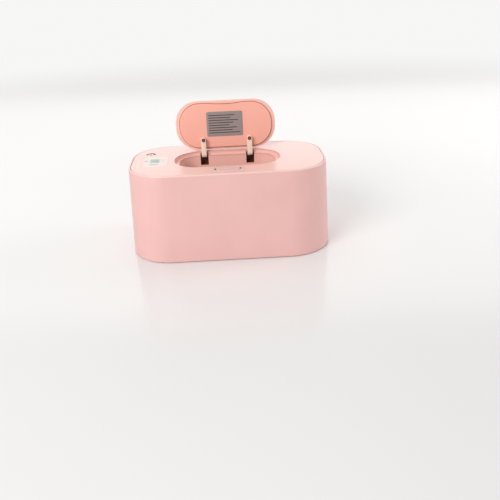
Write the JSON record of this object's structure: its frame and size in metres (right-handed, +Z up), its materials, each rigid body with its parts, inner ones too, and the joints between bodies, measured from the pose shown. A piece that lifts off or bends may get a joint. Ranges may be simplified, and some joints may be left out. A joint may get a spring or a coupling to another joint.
{
  "type": "baby wipe warmer",
  "caption": "Rounded box that warms baby wipes: lift-off heated top with a control window, a sprung flip-up lid over the wipe opening, and a push-button latch.",
  "frame": {"origin": "centre of the footprint, on the table that the rubber feet stand on", "axes": "+X along the long side, towards the end without the control window; +Y from the front, where the release button is, to the hinge side; +Z up"},
  "size_m": [0.2334, 0.127, 0.1593],
  "materials": {
    "shell_pink": "satin moulded plastic",
    "cover_pink": "semi-gloss moulded plastic",
    "lid_pink": "semi-gloss moulded plastic",
    "lid_salmon": "fine satin moulded plastic",
    "liner_white": "satin moulded plastic",
    "arm_cream": "smooth moulded plastic",
    "part_black": "matt moulded plastic",
    "part_cream": "glazed",
    "window_clear": "polished, translucent",
    "label_foil": "satin printed foil, bare",
    "seal_dark": "soft moulded",
    "seal_silicone": "soft moulded",
    "foot_rubber": "matt",
    "foam_grey": "closed-cell foam",
    "heater_aluminium": "rolled",
    "film_amber": "polyimide film",
    "board_green": "solder mask",
    "lcd_grey": "polished",
    "wire_red": "extruded",
    "spring_steel": "drawn wire",
    "screw_steel": "zinc plated",
    "screw_black": "blackened"
  },
  "bodies": {
    "base": {"outer_shell": "shell_pink", "inner_tank": "liner_white", "insulation_sleeve": "foam_grey", "base_plate": "shell_pink", "base_screws": "screw_steel", "rubber_feet": "foot_rubber"},
    "cover": {"top_cover": "cover_pink", "cover_chassis": "liner_white", "chassis_screws": "screw_steel", "cover_seal": "seal_silicone", "heater_plate": "heater_aluminium", "heating_film": "film_amber", "thermal_fuse": "part_cream", "thermal_sensor": "part_black", "main_board": "board_green", "board_components": "part_black", "display_board": "board_green", "lcd_module": "lcd_grey", "control_window": "window_clear", "touch_springs": "spring_steel", "power_socket": "part_black", "wiring": "wire_red", "hinge_housings": "part_black", "hinge_rod": "spring_steel", "torsion_springs": "spring_steel", "button_springs": "spring_steel", "latch_spring": "spring_steel"},
    "lid": {"lid_shell": "lid_pink", "lid_inner_panel": "lid_salmon", "lid_seal": "seal_dark", "lid_label": "label_foil", "hinge_arms": "arm_cream", "arm_screws": "screw_black"},
    "button": {"release_button": "cover_pink"},
    "latch": {"latch_slider": "arm_cream"}
  },
  "joints": [
    {"name": "cover_lift", "type": "slide", "parent": "base", "child": "cover", "axis": [0, 0, 1], "range_m": [0, 0.12]},
    {"name": "lid_hinge", "type": "hinge", "parent": "cover", "child": "lid", "pos_m": [0, 0.0328, 0.0978], "axis": [1, 0, 0], "range_deg": [0, 98.9], "stiffness_Nm_per_rad": 0.008, "springref_deg": -20.05},
    {"name": "button_press", "type": "slide", "parent": "cover", "child": "button", "axis": [0, 0, -1], "range_m": [0, 0.0015], "stiffness_N_per_m": 400, "springref_m": -0.002, "deforming": ["button_springs"]},
    {"name": "latch_slide", "type": "slide", "parent": "cover", "child": "latch", "axis": [0, -1, 0], "range_m": [0, 0.0015], "stiffness_N_per_m": 150, "springref_m": -0.001, "deforming": ["latch_spring"]}
  ],
  "couplings": [
    {"joint": "latch_slide", "follows": "button_press", "ratio": 1}
  ]
}
